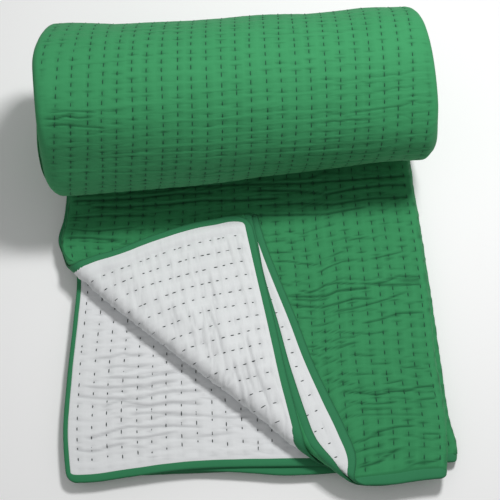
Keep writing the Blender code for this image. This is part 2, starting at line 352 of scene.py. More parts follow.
def sewRows(side):
    # where each row's stitches are, and how strong the pucker is that leads on to the next row
    side = dict(sewing, **side)
    rng = np.random.default_rng(side["seed"])
    rows, pitch = side["rows"], side["pitch"]
    count = int(side["length"] / pitch) + 6
    drift = np.cumsum(rng.normal(0, side["drift"], rows))
    centre = drift[:, None] + pitch * (np.arange(count)[None] - 2)
    centre = centre + rng.normal(0, side["stitchWander"], (rows, count))
    half = rng.uniform(*side["stitch"], (rows, count)) / 2
    place = side["first"] + side["spacing"] * np.arange(rows)
    force = forceAt(side, place[:, None], centre)
    depth = rng.uniform(0.4, 1, (rows, count))
    end = rng.choice((-side["end"], side["end"]), (rows, count))
    runs = np.zeros((rows, count), bool)
    (least, more), keep = side["runOnChance"], side["keepDepth"]
    for row in range(1, rows):
        chance = np.where(runs[row - 1], least + more * force[row], side["startChance"] * force[row])
        runs[row] = rng.uniform(0, 1, count) < chance
        on = runs[row] & runs[row - 1]
        depth[row] = np.where(on, keep * depth[row - 1] + (1 - keep) * depth[row], depth[row])
        end[row] = np.where(on, end[row - 1], end[row])
    return dict(
        side, centre=centre, half=half, around=drift, count=count, end=end,
        strength=runs * depth * (0.3 + 0.7 * force),
        jogs=rng.normal(0, side["jog"], force.shape), bows=rng.normal(0, side["bow"], force.shape),
        mark=side["tick"] * rng.uniform(0, 1, force.shape) ** 1.6,
        step=rng.choice((0,) * 9 + (1, -1), force.shape),  # now and then a pucker skips a stitch
    )


def rowPlace(sewn, row, along):
    wander = sewn["rowWander"] * softNoise(along / sewn["rowWave"], row * 1.0, sewn["seed"])
    return sewn["first"] + sewn["spacing"] * row + wander


def trough(off):
    # a pucker's narrow hollow, and the ridge beside it
    return hump(off, 0.0, 1.0), hump(off, 2.2, 1.1)


def creasesAt(sewn, across, along):
    # the listed creases: depth, half width, and across and along for each point
    deep, proud = 0.0 * (across + along), 0.0 * (across + along)
    length = sewn["creaseFade"]
    for depth, width, *line in sewn["creases"]:
        xs, ys = line[::2], line[1::2]
        fade = ease((across - xs[0]) / length + 0.5) * ease((xs[-1] - across) / length + 0.5)
        hollowAndPaintedShade, ridge = trough((along - np.interp(across, xs, ys)) / width)
        deep = np.maximum(deep, depth * fade * hollowAndPaintedShade)
        proud = np.maximum(proud, depth * fade * ridge)
    return deep, proud


def quilted(sewn, place, along, spot=None):
    # height of the quilted surface over its middle level, and how much painted shade a point gets in a
    # hollow;
    # `spot` is where the point lies for the listed creases
    place, along = np.broadcast_arrays(place, along)
    rows, count, pitch = sewn["rows"], sewn["count"], sewn["pitch"]
    row = np.clip(np.rint((place - sewn["first"]) / sewn["spacing"]), 0, rows - 1).astype(int)
    beside = place - rowPlace(sewn, row, along)
    number = np.clip(np.rint((along - sewn["around"][row]) / pitch) + 2, 0, count - 1).astype(int)
    centre, half = sewn["centre"][row, number], sewn["half"][row, number]
    beyond = np.maximum(np.abs(along - centre) - half * sewn["dimpleShare"], 0)
    dimple = hump(beside, 0.0, sewn["dimpleWide"]) * hump(beyond, 0.0, sewn["dimpleEnd"])
    valley = hump(beside, 0.0, sewn["valleyWide"])
    pillow = np.sqrt(np.clip(1 - (1 - np.minimum(np.abs(beside) * 2 / sewn["spacing"], 1)) ** 2, 0, 1))
    tickAt = centre + half * sewn["end"][row, number] + sewn["jogs"][row, number]
    tick = hump(along, tickAt, sewn["width"]) * hump(beside, 0.0, sewn["tickReach"])
    deep = sewn["mark"][row, number] * tick
    step = (place - sewn["first"]) / sewn["spacing"]
    near = np.clip(np.floor(step), 0, rows - 2).astype(int)
    t = np.clip(step - near, 0, 1)
    proud = np.zeros(place.shape)
    middle = sewn["around"][near] * (1 - t) + sewn["around"][near + 1] * t
    nearest = np.full(place.shape, pitch)
    for shift in (-1, 0, 1):
        j = np.clip(np.rint((along - middle) / pitch) + 2 + shift, 1, count - 2).astype(int)
        k = j + sewn["step"][near, j]
        ends = sewn["end"][near, j]
        here = sewn["centre"][near, j] + sewn["half"][near, j] * ends + sewn["jogs"][near, j]
        there = sewn["centre"][near + 1, k] + sewn["half"][near + 1, k] * ends
        there = there + sewn["jogs"][near + 1, k]
        line = here * (1 - t) + there * t + sewn["bows"][near, j] * 4 * t * (1 - t)
        # a pucker that stops at a row fades out towards it
        strength = sewn["strength"]
        fadeIn = np.where(strength[np.maximum(near - 1, 0), j] > 0, 1.0, 0.2)
        fadeOut = np.where(strength[near + 1, j] > 0, 1.0, 0.2)
        force = strength[near, j] * (fadeIn + (fadeOut - fadeIn) * t) ** 0.5
        hollowAndPaintedShade, ridge = trough((along - line) / (sewn["width"] * (0.8 + 0.5 * force)))
        deep = np.maximum(deep, force * hollowAndPaintedShade)
        proud = np.maximum(proud, force * ridge)
        nearest = np.minimum(nearest, np.abs(along - line))
    inside = (step > -0.2) & (step < rows - 0.8)
    deep, proud = deep * inside, proud * inside
    across, up = (place, along) if spot is None else spot
    handDeep, handProud = creasesAt(sewn, across, up)
    deep, proud = np.maximum(deep, handDeep), np.maximum(proud, handProud)
    bulge = forceAt(sewn, place, along) * np.sin(math.pi * np.minimum(nearest / pitch, 0.5)) ** 2
    height = sewn["pillow"] * pillow - sewn["dimple"] * dimple - sewn["valley"] * valley
    height = height - sewn["pucker"] * (deep - sewn["ridge"] * proud) + sewn["bulge"] * bulge
    height = height + waves(place, along, [(sewn["ruffle"], *sewn["ruffleSize"], sewn["seed"] + 3)])
    # painted shade: how much darker the dimples, valleys and puckers are drawn
    dimpleShade, valleyShade, puckerShade = sewn["shade"]
    hollowAndPaintedShade = dimpleShade * dimple + valleyShade * sewn["valley"] * valley + puckerShade * deep
    return height, np.clip(hollowAndPaintedShade, 0, 1)


def gridMesh(name, points, cloth, hollowAndPaintedShade, flip=False):
    # a mesh of a grid of points; `cloth` is each point's place on the cloth in millimetres
    lines, columns = points.shape[:2]
    bm = bmesh.new()
    bmesh.ops.create_grid(bm, x_segments=columns - 1, y_segments=lines - 1, size=0.5)
    if flip:
        bmesh.ops.reverse_faces(bm, faces=bm.faces)
    mesh = bpy.data.meshes.new(name)
    bm.to_mesh(mesh)
    bm.free()
    count = len(mesh.vertices)
    co = np.empty(count * 3, np.float32)
    mesh.vertices.foreach_get("co", co)
    co = co.reshape(-1, 3)
    i = np.rint((co[:, 0] + 0.5) * (columns - 1)).astype(int)
    j = np.rint((co[:, 1] + 0.5) * (lines - 1)).astype(int)
    place = points[j, i] + np.array([*stack["corner"], 0.0])
    mesh.vertices.foreach_set("co", (place * mm).astype(np.float32).ravel())
    corner = np.empty(len(mesh.loops), np.int32)
    mesh.loops.foreach_get("vertex_index", corner)
    layer = mesh.uv_layers.new(name="cloth")
    uv = np.asarray(cloth, float)[j, i] * 0.01  # one unit is 100 mm of cloth
    layer.data.foreach_set("uv", uv[corner].astype(np.float32).ravel())
    # the painted shade in hollows, which the cloth's material reads
    depth = mesh.attributes.new("hollowAndPaintedShade", "FLOAT", "POINT")
    depth.data.foreach_set("value", np.asarray(hollowAndPaintedShade, float)[j, i].astype(np.float32))
    mesh.shade_smooth()
    mesh.update()
    return mesh


def addPiece(name, mesh, material, replaced=()):
    piece = bpy.data.objects.new(name, mesh)
    bpy.context.scene.collection.objects.link(piece)
    mesh.materials.append(material)
    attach(piece, "root")
    if replaced:
        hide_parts(*replaced)
    return piece


def outwardMesh(name, bm):
    bmesh.ops.recalc_face_normals(bm, faces=bm.faces)
    mesh = bpy.data.meshes.new(name)
    bm.to_mesh(mesh)
    bm.free()
    mesh.shade_smooth()
    return mesh


def joined(name, parts, within, closed=False):
    # one mesh of grids whose edges meet; closed fills what stays open
    bm = bmesh.new()
    for part in parts:
        bm.from_mesh(part)
        bpy.data.meshes.remove(part)
    bmesh.ops.remove_doubles(bm, verts=bm.verts, dist=within)
    if closed:
        bmesh.ops.holes_fill(bm, edges=[e for e in bm.edges if e.is_boundary], sides=0)
    return outwardMesh(name, bm)


# Materials. The cloth's own coordinates count 100 mm as one.
def nodeSetter(material):
    material.use_nodes = True
    tree = material.node_tree
    shader = tree.nodes["Principled BSDF"]

    def add(kind, links=(), **values):
        node = tree.nodes.new(kind)
        for name, value in values.items():
            if hasattr(node, name):
                setattr(node, name, value)
            else:
                node.inputs[name.replace("_", " ")].default_value = value
        for socket, source in links:
            tree.links.new(source, node.inputs[socket])
        return node

    return tree, shader, add


def clothMaterial(name, look):
    # woven cotton: thread weave, slubs, small creases, and painted shade in the hollows at the stitches
    # and wherever else the mesh marks them
    material = bpy.data.materials.new(name)
    tree, shader, add = nodeSetter(material)
    link = tree.links.new
    uv = add("ShaderNodeUVMap", uv_map="cloth").outputs["UV"]

    def threads(direction):
        node = add("ShaderNodeTexWave", [("Vector", uv)], bands_direction=direction,
                   Scale=look["weave"], Distortion=1.2, Detail=1.0)
        return node.outputs["Fac"]

    def noise(bumpsAcross, bumpsAlong, turn=0.0, **values):
        # noise drawn out by its number of bumps in 100 mm each way
        place = add("ShaderNodeMapping", [("Vector", uv)], Scale=(bumpsAcross, bumpsAlong, 1.0),
                    Rotation=(0, 0, turn)).outputs[0]
        return add("ShaderNodeTexNoise", [("Vector", place)], Scale=1.0, **values).outputs["Fac"]

    weave = add("ShaderNodeMath", [(0, threads("X")), (1, threads("Y"))], operation="MULTIPLY").outputs[0]
    slubAlong = noise(26.0, 3.0, Detail=3.0)
    slubAcross = noise(3.0, 30.0, Detail=3.0)
    mottle = noise(2.6, 2.6, Detail=4.0)
    creases = noise(2.2, 13.0, 0.05, Detail=2.0, Distortion=0.4)
    fine = noise(55.0, 55.0, Detail=3.0)
    hollowAndPaintedShade = add("ShaderNodeAttribute", attribute_name="hollowAndPaintedShade").outputs["Fac"]

    def blend(base, top, factor, amount):
        node = add("ShaderNodeMix", data_type="RGBA", blend_type="MIX")
        scale = add("ShaderNodeMath", [(0, factor)], operation="MULTIPLY", use_clamp=True)
        scale.inputs[1].default_value = amount
        link(scale.outputs[0], node.inputs["Factor"])
        for socket, source in ((node.inputs[6], base), (node.inputs[7], top)):
            if isinstance(source, tuple):
                socket.default_value = (*source, 1.0)
            else:
                link(source, socket)
        return node.outputs[2]

    colour = blend(look["colour"], look["pale"], mottle, look["mottle"])
    colour = blend(colour, look["deep"], slubAlong, look["slub"])
    colour = blend(colour, look["pale"], slubAcross, look["slub"])
    colour = blend(colour, look["deep"], weave, look["weaveDark"])
    # painted shade: the shade colour is blended in where the mesh marks a hollow
    colour = blend(colour, look["shade"], hollowAndPaintedShade, look["paintedShadeMix"])
    link(colour, shader.inputs["Base Color"])
    shader.inputs["Roughness"].default_value = look["roughness"]
    shader.inputs["Sheen Weight"].default_value = look["sheen"]
    shader.inputs["Sheen Roughness"].default_value = 0.5
    shader.inputs["Specular IOR Level"].default_value = look["specular"]
    height = None
    depths = (creases, look["creaseDepth"]), (slubAcross, 0.12), (weave, 0.05), (fine, 0.08)
    for source, depth in depths:
        bump = add("ShaderNodeBump", [("Height", source)], Strength=look["bump"], Distance=depth * mm)
        if height is not None:
            link(height, bump.inputs["Normal"])
        height = bump.outputs["Normal"]
    link(height, shader.inputs["Normal"])
    return material


# In each look the colours are blended by the shares that follow them; the shade colour is painted shade
# for hollows and creases. The crease depth is in millimetres.
greenLook = {
    "colour": (0.036, 0.262, 0.098), "pale": (0.052, 0.32, 0.128), "deep": (0.022, 0.195, 0.064),
    "shade": (0.004, 0.062, 0.022), "mottle": 0.5, "slub": 0.3, "weave": 45.0, "weaveDark": 0.18,
    "paintedShadeMix": 0.8, "roughness": 0.85, "sheen": 0.05, "specular": 0.25, "creaseDepth": 1.1,
    "bump": 0.8,
}
whiteLook = {
    **greenLook,
    "colour": (0.78, 0.8, 0.81), "pale": (0.85, 0.86, 0.87), "deep": (0.68, 0.69, 0.7),
    "shade": (0.42, 0.43, 0.44), "weaveDark": 0.12, "paintedShadeMix": 0.6, "roughness": 0.9,
    "sheen": 0.1, "creaseDepth": 0.9,
}
bindingLook = {
    **greenLook,
    "colour": (0.028, 0.205, 0.085), "pale": (0.042, 0.255, 0.112), "deep": (0.018, 0.155, 0.06),
    "shade": (0.006, 0.08, 0.03), "mottle": 0.4, "weaveDark": 0.15, "roughness": 0.8,
    "creaseDepth": 0.6, "bump": 0.6,
}
greenCotton = clothMaterial("greenCotton", greenLook)
whiteCotton = clothMaterial("whiteCotton", whiteLook)
bindingCotton = clothMaterial("bindingCotton", bindingLook)


def threadMaterial(name, colour, dark):
    # twisted cotton thread
    material = bpy.data.materials.new(name)
    tree, shader, add = nodeSetter(material)
    place = add("ShaderNodeTexCoord").outputs["Object"]
    noise = add("ShaderNodeTexNoise", [("Vector", place)], Scale=900.0, Detail=2.0)
    mix = add("ShaderNodeMix", data_type="RGBA")
    tree.links.new(noise.outputs["Fac"], mix.inputs["Factor"])
    mix.inputs[6].default_value = (*colour, 1.0)
    mix.inputs[7].default_value = (*dark, 1.0)
    tree.links.new(mix.outputs[2], shader.inputs["Base Color"])
    bump = add("ShaderNodeBump", [("Height", noise.outputs["Fac"])], Strength=0.5, Distance=0.0002)
    tree.links.new(bump.outputs["Normal"], shader.inputs["Normal"])
    shader.inputs["Roughness"].default_value = 0.8
    return material


greenThread = threadMaterial("greenThread", (0.007, 0.11, 0.045), (0.003, 0.055, 0.022))
greyThread = threadMaterial("greyThread", (0.07, 0.085, 0.085), (0.02, 0.025, 0.025))
print("materials made")

# The rows on each visible side: the first one's place, their number, length and seed, the pitch of the
# stitches, how strongly the cloth is gathered where it is calm, the puckers' depth and half width, and
# the heights of what lies between the rows. Each area of puckers is its middle across and along the
# cloth, its reach both ways and its strength. The creases were placed after the photo: depth,
# half width, and then across and along for each point.
topRows = sewRows({
    "first": 7.4, "rows": 26, "length": 400, "seed": 11, "pitch": 9.7,
    "calm": 0.3, "pucker": 1.0, "width": 0.85, "tick": 0.8, "valley": 0.06, "pillow": 0.22,
    "bulge": 0.35, "ruffle": 0.45,
    "areas": (
        (190, 345, 260, 55, 0.5), (330, 70, 90, 60, 0.1), (60, 235, 80, 40, 0.35),
        (235, 250, 30, 40, 0.3), (320, 200, 70, 20, 0.2),
    ),
    # in x and y of the tail
    "creases": (
        (0.9, 0.8, 270, 205, 281, 211, 296, 216), (0.9, 0.9, 280, 221, 295, 227),
        (1.0, 0.8, 222, 219, 240, 218, 250, 215, 268, 213), (0.8, 0.8, 303, 239, 322, 242),
        (0.8, 0.9, 325, 217, 340, 220, 358, 224), (0.9, 0.8, 218, 229, 242, 228),
        (0.8, 0.8, 229, 194, 240, 190),
        (1.0, 1.0, 247, 187, 254, 183, 263, 184, 274, 190, 285, 192, 308, 190),
        (1.0, 0.9, 312, 191, 320, 189, 338, 191, 352, 197, 374, 195), (0.7, 2.6, 352, 192, 374, 191),
        (0.9, 1.0, 323, 188.5, 345, 187.5, 374, 186.5),
        (1.0, 1.2, 235, 180, 260, 178, 275, 178, 286, 183, 300, 184, 318, 185),
        (0.9, 1.0, 240, 176, 262, 174, 276, 175),
        (1.0, 1.0, 236, 171, 250, 168, 270, 166, 283, 169, 303, 174, 322, 173),
        (0.9, 0.9, 280, 161, 300, 163, 322, 168, 338, 172, 357, 179), (0.8, 0.8, 245, 156, 264, 154),
        (0.8, 0.8, 257, 146, 268, 147, 281, 150), (0.9, 0.9, 311, 147, 328, 150, 348, 156, 374, 156),
        (0.7, 0.8, 261, 140, 282, 139, 298, 137, 317, 135, 332, 137),
        (0.8, 0.8, 249, 125, 262, 124, 266, 121, 284, 122, 296, 125),
        (0.7, 0.8, 265, 130, 281, 129, 296, 125), (0.8, 0.8, 252, 117, 262, 115, 280, 108, 289, 107),
        (0.8, 0.8, 298, 114, 313, 112, 320, 112), (0.7, 0.8, 315, 103, 335, 103),
        (0.7, 0.8, 281, 95, 299, 93, 314, 93), (0.8, 0.8, 345, 99, 368, 96),
        (0.8, 0.8, 269, 89, 283, 87, 296, 82), (0.8, 0.8, 327, 82, 345, 85),
        (1.0, 1.0, 285, 76, 303, 74, 320, 71, 331, 74, 351, 74, 358, 77, 380, 78),
        (0.8, 0.9, 287, 66, 312, 62, 320, 62, 337, 63), (0.8, 0.9, 359, 64, 375, 65, 380, 67),
        (0.5, 0.9, 281, 52, 320, 51, 362, 49), (0.9, 0.9, 292, 30, 305, 30, 315, 34, 335, 38, 353, 38),
        (0.7, 0.8, 291, 22, 320, 23), (0.8, 0.8, 362, 30, 378, 29),
        (1.0, 1.0, 295, 9, 315, 10, 327, 15, 337, 17),
        (0.9, 1.0, 329, -3, 345, 0, 351, 2, 368, 2, 380, 6),
        (1.0, 1.3, 8, 298, 40, 297, 85, 298, 120, 301, 160, 300),
        (1.0, 1.4, 30, 290, 60, 288, 110, 289, 150, 292, 190, 290, 230, 291),
        (0.9, 1.1, 5, 278, 45, 279, 90, 277), (0.9, 1.1, 3, 250, 28, 252, 58, 250),
        (0.8, 1.0, 5, 262, 30, 261, 75, 264), (0.8, 0.9, 118, 265, 131, 265),
        (1.0, 1.4, 205, 301, 250, 299, 282, 293, 312, 298, 350, 301, 374, 300),
        (0.9, 1.2, 215, 283, 255, 284, 290, 281, 330, 286, 374, 286),
        (0.9, 1.2, 205, 272, 240, 271, 280, 270, 300, 273, 322, 276),
        (1.0, 1.2, 100, 308, 180, 309, 260, 307, 374, 311),
    ),
})
flapRows = sewRows({
    "first": 22.5, "spacing": 14.7, "rows": 24, "length": 300, "seed": 23, "pitch": 10.3,
    "calm": 0.2, "pucker": 0.9, "width": 1.1, "tick": 0.6, "valley": 0.08, "pillow": 0.3,
    "bulge": 0.6, "ruffle": 0.5, "stitch": (3.2, 6.8), "stitchWander": 1.3,
    "areas": ((120, 75, 60, 35, 0.35), (180, 40, 40, 40, 0.35), (50, 60, 40, 60, 0.15)),
    "creases": (
        (1.0, 1.6, 96, 68, 112, 64, 120, 62, 138, 62),
        (1.0, 1.5, 130, 33, 148, 32, 165, 30, 190, 26, 202, 25), (0.9, 1.5, 152, 53, 172, 50, 188, 48),
        (0.6, 1.3, 24, 31, 46, 30), (0.7, 1.4, 92, 86, 108, 85), (0.7, 1.5, 78, 106, 102, 104),
        (0.6, 1.3, 24, 20, 42, 20, 62, 18), (0.7, 1.4, 150, 40, 170, 39, 184, 36),
        (0.6, 1.6, 60, 60, 90, 57),
    ),
})
lowerRows = sewRows({
    "first": 13.0, "spacing": 15.2, "rows": 24, "length": 300, "seed": 31, "pitch": 11.2,
    "calm": 0.3, "pucker": 1.0, "width": 0.95, "tick": 0.7, "valley": 0.05, "pillow": 0.25,
    "bulge": 1.0, "ruffle": 0.45, "stitch": (2.8, 7.0), "stitchWander": 1.5,
    "areas": ((65, 90, 70, 45, 0.5), (150, 45, 60, 30, 0.2)),
    "creases": (
        (0.9, 1.4, 30, 125, 34, 128, 45, 128, 58, 130, 68, 126, 80, 126),
        (0.8, 1.4, 40, 117, 55, 117, 70, 113, 86, 114),
        (1.0, 1.4, 42, 106, 57, 104, 72, 102, 80, 101, 88, 102, 115, 103),
        (1.0, 1.5, 20, 99, 30, 97, 42, 95, 72, 93, 84, 90, 90, 93, 113, 93),
        (0.9, 1.5, 13, 89, 30, 86, 60, 81, 80, 79, 92, 82, 112, 82, 140, 80),
        (1.0, 1.4, 40, 75, 48, 78, 58, 80, 68, 76, 85, 70, 110, 71, 140, 66),
        (0.9, 1.3, 68, 63, 83, 63, 112, 59, 124, 56, 142, 54),
        (1.0, 1.2, 24, 44, 38, 46, 55, 50, 68, 51, 82, 48, 110, 46, 140, 42),
        (1.0, 1.1, 52, 40, 68, 39, 80, 37, 92, 38, 112, 39.5),
        (1.0, 1.2, 10, 34, 24, 31, 36, 31, 43, 33, 60, 34), (0.8, 1.2, 68, 30, 82, 27),
        (0.7, 1.3, 150, 52, 175, 50, 190, 51), (0.7, 1.3, 120, 31, 150, 33, 172, 35),
    ),
})
underRows = dict(topRows, centre=topRows["centre"] + topRows["pitch"] / 2, creases=())
besideRows = dict(topRows, creases=(), first=7.0)
rollRows = sewRows({
    "first": -45.2, "spacing": (roll["length"] - 26.0) / 25, "rows": 32, "length": 600, "seed": 47,
    "pitch": 9.9, "calm": 0.12, "pucker": 0.95, "width": 0.9, "tick": 0.65, "dimple": 0.5,
    "valley": 0.02, "pillow": 0.14, "bulge": 0.12, "ruffle": 0.2,
    "areas": (
        (30, 335, 40, 22, 0.5), (130, 315, 22, 25, 0.4), (110, 375, 50, 20, 0.35),
        (290, 325, 45, 25, 0.4), (290, 370, 50, 22, 0.4), (345, 345, 30, 40, 0.3),
        (190, 415, 220, 16, 0.4),
    ),
    # across the rolled cloth, and along it round the roll
    "creases": (
        (0.9, 1.1, 4, 333, 14, 334, 22, 331, 34, 334, 46, 334),
        (0.8, 1.0, 6, 341, 20, 340, 36, 343, 58, 346), (0.7, 1.0, 8, 327, 24, 326, 50, 329),
    ),
})


def rowColumns(sewn, low, high):
    # places across a quilted layer: close together at each row and wider between
    besideRow, clear = (-1.5, 0.0, 1.5, 7.4), 1.2
    places = [sewn["first"] + sewn["spacing"] * r + d for r in range(sewn["rows"]) for d in besideRow]
    return [low, *(p for p in places if low + clear < p < high - clear), high]


# How the cloths of the tail are made. Each is a mesh with columns across its layers and lines along the
# tail.
tailCloth = {
    "thickness": 1.0,
    "hem": 7.0,  # where the cloth starts inside its binding, from the hem and from a bound side
    "side": 4.5,
    "dip": 0.4,  # it comes out of the binding that much lower: (where it starts to rise, length)
    "dipHem": (7.4, 2.2),
    "dipSide": (6.0, 2.4),
    "turnLength": 10.0,  # length of cloth in a turn
    "turnUneven": 0.5,  # how uneven the turns are, the length of that, and the painted shade in their dents and over each turn
    "turnWave": 5.0,
    "turnDentShade": 0.8,
    "turnShade": 0.7,
    "faceStep": 1.15,
    "backingStep": 1.35,
    "hidden": [0, 30, 60, 90, 120, 150, 180, 210, 235, 250, 265, 280, 300, 340, 380],
    "corner": [7.5, 15.0, 22.5],  # columns where the crease meets the fold at the left
}
turnAngles = [math.pi * k / 6 for k in range(1, 6)]


def layCloth(packet, shown):
    # columns across a packet's cloth as (kind, layer, place or angle)
    columns = []
    for number, layer in enumerate(packet["layers"]):
        low = tailCloth["side"] if isBound(packet, layer) else 0.0
        places = [low] + [p for p in shown.get(layer, tailCloth["hidden"]) if p > low + 0.5]
        columns += [("flat", layer, p) for p in (places if number % 2 == 0 else places[::-1])]
        if layer != packet["layers"][-1]:
            columns += [("turn", layer, angle) for angle in turnAngles]
    return columns


def buildCloth(name, node, packet, side, lines, shown, reliefs):
    # one cloth of a packet: side is 1 for the green face, -1 for the white backing; shown and reliefs
    # hold the columns and the relief of each layer that shows
    points, cloth, paintedShades = [], [], []
    for kind, layer, value in layCloth(packet, shown):
        number = packet["layers"].index(layer)
        across = number * (stack["width"] + tailCloth["turnLength"])
        off = np.full(len(lines), stack["half"])
        hollowAndPaintedShade = np.zeros(len(lines))
        if kind == "turn":
            run, share = lines / tailCloth["turnWave"], value / math.pi
            across = across + stack["width"] + tailCloth["turnLength"] * share
            off = off + tailCloth["turnUneven"] * softNoise(run, value * 1.2 + layer * 3.0, 71)
            # painted shade: darker towards the layer each turn leads to, and in patches that stand for
            # dents
            dentShade = np.clip(softNoise(run, value * 0.9, layer + 80) - 0.1, 0, 1)
            hollowAndPaintedShade = np.clip(tailCloth["turnShade"] * share**2 + tailCloth["turnDentShade"] * dentShade, 0, 1)
            turn = turnPoint(packet, layer, value, lines, side * off)
            points.append(laid(packet, packet["layers"][number + 1], turn))
        else:
            across = across + (value if number % 2 == 0 else stack["width"] - value)
            if layer in reliefs:
                height, hollowAndPaintedShade = reliefs[layer](value, lines)
                off = off + height
            dips = [(lines, tailCloth["dipHem"])]
            if isBound(packet, layer):
                dips.append((value, tailCloth["dipSide"]))
            for place, (start, length) in dips:
                off = off - tailCloth["dip"] * (1 - ease((place - start) / length))
            points.append(clothPoint(packet, layer, value, lines, side * off))
        cloth.append(np.stack([np.full(len(lines), across), lines], axis=-1))
        paintedShades.append(hollowAndPaintedShade)
    grids = [np.stack(group, axis=1) for group in (points, cloth, paintedShades)]
    mesh = gridMesh(name, *grids, flip=side < 0)
    material, slot = (greenCotton, "green_cotton") if side > 0 else (whiteCotton, "white_cotton")
    piece = addPiece(name, mesh, material, (node,))
    solid = piece.modifiers.new("thickness", "SOLIDIFY")
    solid.thickness = tailCloth["thickness"] * mm
    solid.offset = -1
    solid.use_even_offset = False
    return piece


# The shape of each side besides its sewing: share of the quilted height that shows, level, and long soft
# waves as (height, length across, length along, seed). "crease" is where the quilting comes or goes at
# the crease: (distance past it, length).
fades = {"left": 6.0, "right": 5.0, "hem": 6.0, "hemStart": 8.0}
topShape = {
    "level": 0.9, "waves": ((0.9, 85, 60, 5), (0.5, 40, 24, 6)), "crease": (-9.0, 9.0),
    "lowest": -1.55,  # a hollow stays clear of the backing
    "seam": (8.6, 0.9, 0.6),  # painted shade in a line beside the binding: (place, reach, strength)
}
underShape = {"share": 0.7, "level": -0.3, "crease": (-4.0, 9.0)}
flapShape = {
    "share": 0.85, "level": 0.7, "waves": ((0.9, 90, 60, 7), (0.4, 35, 30, 8)),
    # the ridge and the hollow behind the crease, and those along the binding: (place, reach, height)
    "fold": ((46, 12, 1.3), (30, 9, -0.9)),
    "border": ((13, 4, 1.1), (20, 3.2, -1.2)),
    # painted shade in the hollow along the binding
    "seamShade": 0.2,
}
lowerShape = {"share": 0.8, "waves": ((0.3, 70, 50, 9),)}
besideShape = {"from": 345.0, "length": 10.0}


def edgeFade(place, station, low):
    # the quilting dies away towards a bound edge or a fold
    fade = ease((place - low) / fades["left"]) * ease((stack["width"] - place) / fades["right"])
    return fade * ease((station - fades["hemStart"]) / fades["hem"])


def creaseFade(shape, place, station):
    start, length = shape["crease"]
    return ease((pastCrease(topPacket, 1, place, station) - start) / length)


def topRelief(place, station):
    spot = flatPoint(topPacket, 1, place, station, 0.0)
    height, hollowAndPaintedShade = quilted(topRows, place, station, (spot[..., 0], spot[..., 1]))
    height = np.maximum(height, topShape["lowest"])
    wave = np.clip(topShape["level"] + waves(place, station, topShape["waves"]), 0, 3)
    fade = edgeFade(place, station, 0.0) * (1 - creaseFade(topShape, place, station))
    # painted shade in the hollows, and in a line beside the binding
    return (height + wave) * fade, np.maximum(hollowAndPaintedShade * fade, humps(station, [topShape["seam"]]))


def underRelief(place, station):
    # the white side of the top layer, which shows beside the flap
    height, hollowAndPaintedShade = quilted(underRows, place, station)
    fade = edgeFade(place, station, 0.0) * creaseFade(underShape, place, station)
    return underShape["share"] * (height + underShape["level"]) * fade, hollowAndPaintedShade * fade


def flapRelief(place, station):
    height, hollowAndPaintedShade = quilted(flapRows, place, station)
    height = height * flapShape["share"] + flapShape["level"] + waves(place, station, flapShape["waves"])
    height = height + humps(pastCrease(topPacket, 3, place, station), flapShape["fold"])
    height = height + humps(place, flapShape["border"])
    # painted shade in the hollow along the binding
    seam = hump(place, *flapShape["border"][1][:2])
    fade = edgeFade(place, station, stack["bindingWidth"])
    return height * fade, np.maximum(hollowAndPaintedShade, flapShape["seamShade"] * seam) * fade


def lowerRelief(place, station):
    height, hollowAndPaintedShade = quilted(lowerRows, place, station)
    height = height * lowerShape["share"] + waves(place, station, lowerShape["waves"])
    fade = edgeFade(place, station, stack["bindingWidth"])
    return height * fade, hollowAndPaintedShade * fade


def besideRelief(place, station):
    # the edge of the lower half of the stack, which shows along the right
    height, hollowAndPaintedShade = quilted(besideRows, place, station)
    fade = edgeFade(place, station, 0.0) * ease((place - besideShape["from"]) / besideShape["length"])
    return height * fade, hollowAndPaintedShade * fade


def linesTo(step, fineTo, coarseFrom, count):
    # lines along the tail: fine where the cloth shows, coarse on to the roll
    return np.concatenate([
        np.arange(tailCloth["hem"], fineTo, step), np.linspace(coarseFrom, stack["tail"], count)
    ])


sideStart, width = tailCloth["side"], stack["width"]
topFace = buildCloth(
    "tailTopFace", "tail_top_face_cloth", topPacket, 1, linesTo(tailCloth["faceStep"], 314, 316, 17),
    {1: rowColumns(topRows, 0.0, width)}, {1: topRelief},
)
print("green face of the tail made")
topBacking = buildCloth(
    "tailTopBacking", "tail_top_backing_cloth", topPacket, -1,
    linesTo(tailCloth["backingStep"], 245, 246, 12),
    {
        3: sorted([sideStart, 6.0, 7.5, *rowColumns(dict(flapRows, rows=19), 9.0, 305.0),
                   13.0, 16.5, 19.5, 330.0, 355.0, width]),
        2: sorted([*tailCloth["hidden"], *tailCloth["corner"]]),
        1: [0.0, *tailCloth["corner"], 30.0, 60.0, 90.0, *np.arange(110.0, 300.0, 4.9),
            320.0, 350.0, width],
        4: sorted([*rowColumns(lowerRows, sideStart, 305.0), 6.0, 7.5, 330.0, 355.0, width]),
    },
    {3: flapRelief, 1: underRelief, 4: lowerRelief},
)
print("white backing of the tail made")
baseFace = buildCloth(
    "tailBaseFace", "tail_base_face_cloth", basePacket, 1,
    np.linspace(tailCloth["hem"], stack["tail"], 220),
    {5: tailCloth["hidden"][:-2] + rowColumns(besideRows, 335.0, width)}, {5: besideRelief},
)
baseBacking = buildCloth(
    "tailBaseBacking", "tail_base_backing_cloth", basePacket, -1,
    np.linspace(tailCloth["hem"], stack["tail"], 40), {}, {},
)
print("lower cloths of the tail made")

